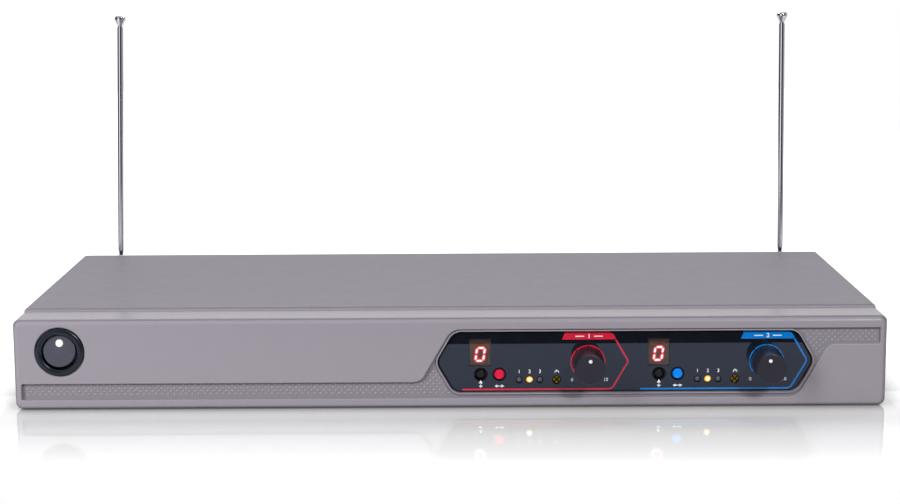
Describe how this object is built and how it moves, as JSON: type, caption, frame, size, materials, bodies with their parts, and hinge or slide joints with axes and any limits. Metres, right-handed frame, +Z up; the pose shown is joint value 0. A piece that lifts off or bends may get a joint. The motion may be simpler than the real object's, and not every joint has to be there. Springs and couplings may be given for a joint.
{
  "type": "wireless microphone receiver",
  "caption": "Low wide receiver case with a moulded front, a dark control panel with knobs, buttons and displays, a round rocker switch and telescopic whip antennas at the rear corners.",
  "frame": {"origin": "centre of the bounding box's underside, on the surface that the feet stand on", "axes": "+X to the right as seen from the front, +Y from the controls to the rear panel, +Z up"},
  "size_m": [0.42, 0.2056, 0.1813],
  "materials": {
    "front_plastic": "fine satin texture, warm grey",
    "case_paint": "satin powder coat, warm grey",
    "rear_paint": "fine black powder coat",
    "foot_rubber": "soft matte black",
    "screw_black": "black oxide",
    "panel_gloss": "polished black acrylic",
    "window_smoke": "smoked clear plastic",
    "display_body": "matte brown grey",
    "digit_glow": "lit red segments",
    "lamp_amber": "lit amber lens",
    "lamp_grey": "unlit diffused lens",
    "board_green": "solder mask",
    "steel_bright": "bright zinc",
    "brass": "bright brass",
    "black_plastic": "moulded black",
    "switch_gloss": "polished black",
    "knob_plastic": "soft charcoal",
    "button_black": "black, semi gloss",
    "button_red": "red, semi gloss",
    "button_blue": "blue, semi gloss",
    "capacitor_sleeve": "shrink sleeve",
    "heat_sink_black": "black anodised",
    "ribbon_grey": "grey ribbon",
    "lead_red": "insulated lead",
    "lead_black": "coaxial lead",
    "chrome": "polished plating",
    "nickel": "satin nickel"
  },
  "bodies": {
    "case": {"front_bezel": "front_plastic", "top_cover": "case_paint", "base_pan": "case_paint", "rear_panel": "rear_paint", "rubber_feet": "foot_rubber", "case_screws": "screw_black", "control_panel": "panel_gloss", "digit_segments": "digit_glow", "lit_lamps": "lamp_amber", "unlit_lamps": "lamp_grey", "control_board": "board_green", "board_screws": "steel_bright", "tact_switches": "black_plastic", "trimmer_bodies": "black_plastic", "potentiometers": "steel_bright", "switch_housing": "switch_gloss", "switch_terminals": "brass", "main_board": "board_green", "capacitors": "capacitor_sleeve", "heat_sink": "heat_sink_black", "board_headers": "black_plastic", "ribbon_cable": "ribbon_grey", "power_leads": "lead_red", "antenna_leads": "lead_black", "xlr_pins": "nickel", "mix_jack": "black_plastic", "jack_nut": "nickel", "dc_inlet": "black_plastic", "antenna_bushings": "black_plastic", "antenna_nuts": "nickel", "display_window_1": "window_smoke", "display_module_1": "display_body", "tuner_shield_1": "steel_bright", "xlr_output_1": "black_plastic", "display_window_2": "window_smoke", "display_module_2": "display_body", "tuner_shield_2": "steel_bright", "xlr_output_2": "black_plastic"},
    "power_rocker": {"power_rocker": "switch_gloss"},
    "knob_1": {"volume_knob_1": "knob_plastic", "pot_shaft_1": "steel_bright"},
    "channel_button_1": {"channel_button_1": "button_black"},
    "sync_button_1": {"sync_button_1": "button_red"},
    "squelch_rotor_1": {"squelch_rotor_1": "brass"},
    "antenna_fork_1": {"antenna_fork_1": "chrome", "elbow_pin_1": "chrome"},
    "antenna_outer_1": {"antenna_outer_1": "chrome"},
    "antenna_middle_1": {"antenna_middle_1": "chrome"},
    "antenna_tip_1": {"antenna_tip_1": "chrome"},
    "knob_2": {"volume_knob_2": "knob_plastic", "pot_shaft_2": "steel_bright"},
    "channel_button_2": {"channel_button_2": "button_black"},
    "sync_button_2": {"sync_button_2": "button_blue"},
    "squelch_rotor_2": {"squelch_rotor_2": "brass"},
    "antenna_fork_2": {"antenna_fork_2": "chrome", "elbow_pin_2": "chrome"},
    "antenna_outer_2": {"antenna_outer_2": "chrome"},
    "antenna_middle_2": {"antenna_middle_2": "chrome"},
    "antenna_tip_2": {"antenna_tip_2": "chrome"}
  },
  "joints": [
    {"name": "power_rocker_tilt", "type": "hinge", "parent": "case", "child": "power_rocker", "pos_m": [-0.1877, -0.08425, 0.0286], "axis": [1, 0, 0], "range_deg": [0, 22]},
    {"name": "volume_1_turn", "type": "hinge", "parent": "case", "child": "knob_1", "pos_m": [0.0666, -0.08765, 0.0219], "axis": [0, 1, 0], "range_deg": [-140, 140]},
    {"name": "channel_1_press", "type": "slide", "parent": "case", "child": "channel_button_1", "axis": [0, 1, 0], "range_m": [0, 0.0008], "stiffness_N_per_m": 600},
    {"name": "sync_1_press", "type": "slide", "parent": "case", "child": "sync_button_1", "axis": [0, 1, 0], "range_m": [0, 0.0008], "stiffness_N_per_m": 600},
    {"name": "squelch_1_turn", "type": "hinge", "parent": "case", "child": "squelch_rotor_1", "pos_m": [0.0515, -0.08765, 0.0133], "axis": [0, 1, 0], "range_deg": [-105, 105]},
    {"name": "antenna_1_swivel", "type": "hinge", "parent": "case", "child": "antenna_fork_1", "pos_m": [-0.1898, 0.09985, 0.036], "axis": [0, -1, 0], "range_deg": [-45, 90]},
    {"name": "antenna_1_elbow", "type": "hinge", "parent": "antenna_fork_1", "child": "antenna_outer_1", "pos_m": [-0.1898, 0.09985, 0.036], "axis": [-0.9995, 0, 0.0305], "range_deg": [0, 90]},
    {"name": "antenna_1_middle_slide", "type": "slide", "parent": "antenna_outer_1", "child": "antenna_middle_1", "axis": [0.0305, 0, 0.9995], "range_m": [0, 0.1]},
    {"name": "antenna_1_tip_slide", "type": "slide", "parent": "antenna_middle_1", "child": "antenna_tip_1", "axis": [0.0305, 0, 0.9995], "range_m": [0, 0.1]},
    {"name": "volume_2_turn", "type": "hinge", "parent": "case", "child": "knob_2", "pos_m": [0.1526, -0.08765, 0.0219], "axis": [0, 1, 0], "range_deg": [-140, 140]},
    {"name": "channel_2_press", "type": "slide", "parent": "case", "child": "channel_button_2", "axis": [0, 1, 0], "range_m": [0, 0.0008], "stiffness_N_per_m": 600},
    {"name": "sync_2_press", "type": "slide", "parent": "case", "child": "sync_button_2", "axis": [0, 1, 0], "range_m": [0, 0.0008], "stiffness_N_per_m": 600},
    {"name": "squelch_2_turn", "type": "hinge", "parent": "case", "child": "squelch_rotor_2", "pos_m": [0.1375, -0.08765, 0.0133], "axis": [0, 1, 0], "range_deg": [-105, 105]},
    {"name": "antenna_2_swivel", "type": "hinge", "parent": "case", "child": "antenna_fork_2", "pos_m": [0.1898, 0.09985, 0.036], "axis": [0, 1, 0], "range_deg": [-45, 90]},
    {"name": "antenna_2_elbow", "type": "hinge", "parent": "antenna_fork_2", "child": "antenna_outer_2", "pos_m": [0.1898, 0.09985, 0.036], "axis": [-0.9999, 0, -0.014], "range_deg": [0, 90]},
    {"name": "antenna_2_middle_slide", "type": "slide", "parent": "antenna_outer_2", "child": "antenna_middle_2", "axis": [-0.014, 0, 0.9999], "range_m": [0, 0.1]},
    {"name": "antenna_2_tip_slide", "type": "slide", "parent": "antenna_middle_2", "child": "antenna_tip_2", "axis": [-0.014, 0, 0.9999], "range_m": [0, 0.1]}
  ]
}
